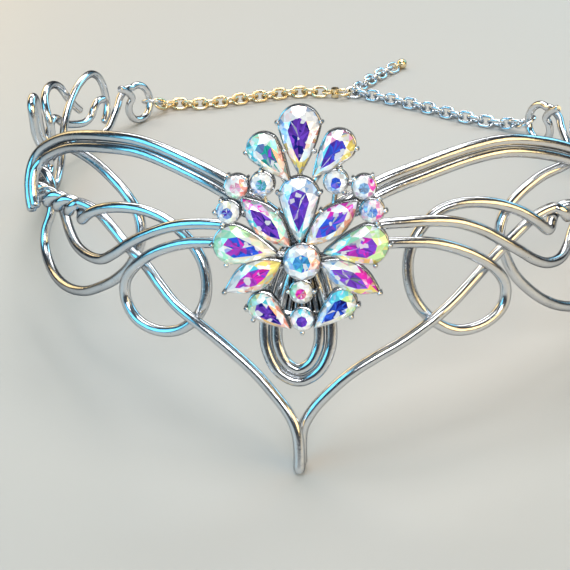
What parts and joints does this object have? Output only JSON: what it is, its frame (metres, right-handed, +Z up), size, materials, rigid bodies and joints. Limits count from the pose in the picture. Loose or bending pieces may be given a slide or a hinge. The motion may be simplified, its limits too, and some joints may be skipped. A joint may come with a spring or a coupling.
{
  "type": "wire circlet tiara with crystal rosette and chain clasp",
  "caption": "Hand-bent wire circlet tiara with a V over the brow, looped sides, a claw-set rosette of cut stones, and a cable chain with a lobster clasp behind.",
  "frame": {"origin": "on the surface it rests on, under the middle of the whole crown", "axes": "+Z up, front with the rosette towards -Y, the wearer's right side towards -X"},
  "size_m": [0.1606, 0.22, 0.0686],
  "materials": {
    "wire": "bright drawn wire",
    "silver": "bright plated",
    "chain": "bright plated",
    "crystal_violet": "cut, foil-backed, rainbow coated",
    "crystal_blue": "cut, foil-backed, rainbow coated",
    "crystal_pale": "cut, foil-backed, rainbow coated"
  },
  "bodies": {
    "circlet": {"brow_wire_upper": "wire", "brow_wire_lower": "wire", "v_wire_left": "wire", "v_wire_right": "wire", "loop_wire_left": "wire", "loop_wire_right": "wire", "middle_wire_left": "wire", "middle_wire_right": "wire", "teardrop_wire_left": "wire", "teardrop_wire_right": "wire", "setting": "silver", "pear_top": "crystal_violet", "pear_upper_left": "crystal_violet", "pear_upper_right": "crystal_violet", "pear_middle": "crystal_violet", "pear_left": "crystal_violet", "pear_right": "crystal_violet", "pear_lower_left": "crystal_violet", "pear_lower_right": "crystal_violet", "navette_upper_left": "crystal_blue", "navette_upper_right": "crystal_blue", "navette_lower_left": "crystal_blue", "navette_lower_right": "crystal_blue", "round_centre": "crystal_pale", "round_left_high": "crystal_pale", "round_left_mid": "crystal_pale", "round_left_low": "crystal_pale", "round_right_high": "crystal_pale", "round_right_mid": "crystal_pale", "round_right_low": "crystal_pale", "round_lower_high": "crystal_pale", "round_lower_low": "crystal_pale", "jump_ring_left": "silver", "jump_ring_right": "silver", "chain_left": "chain", "chain_right": "chain", "end_bead": "chain", "clasp_body": "silver"},
    "lever": {"clasp_lever": "silver"}
  },
  "joints": [
    {"name": "clasp_lever_hinge", "type": "hinge", "parent": "circlet", "child": "lever", "pos_m": [-0.00004, 0.0825, 0.0017], "axis": [0, 0, 1], "range_deg": [0, 25], "stiffness_Nm_per_rad": 0.0002, "springref_deg": -17.19}
  ]
}
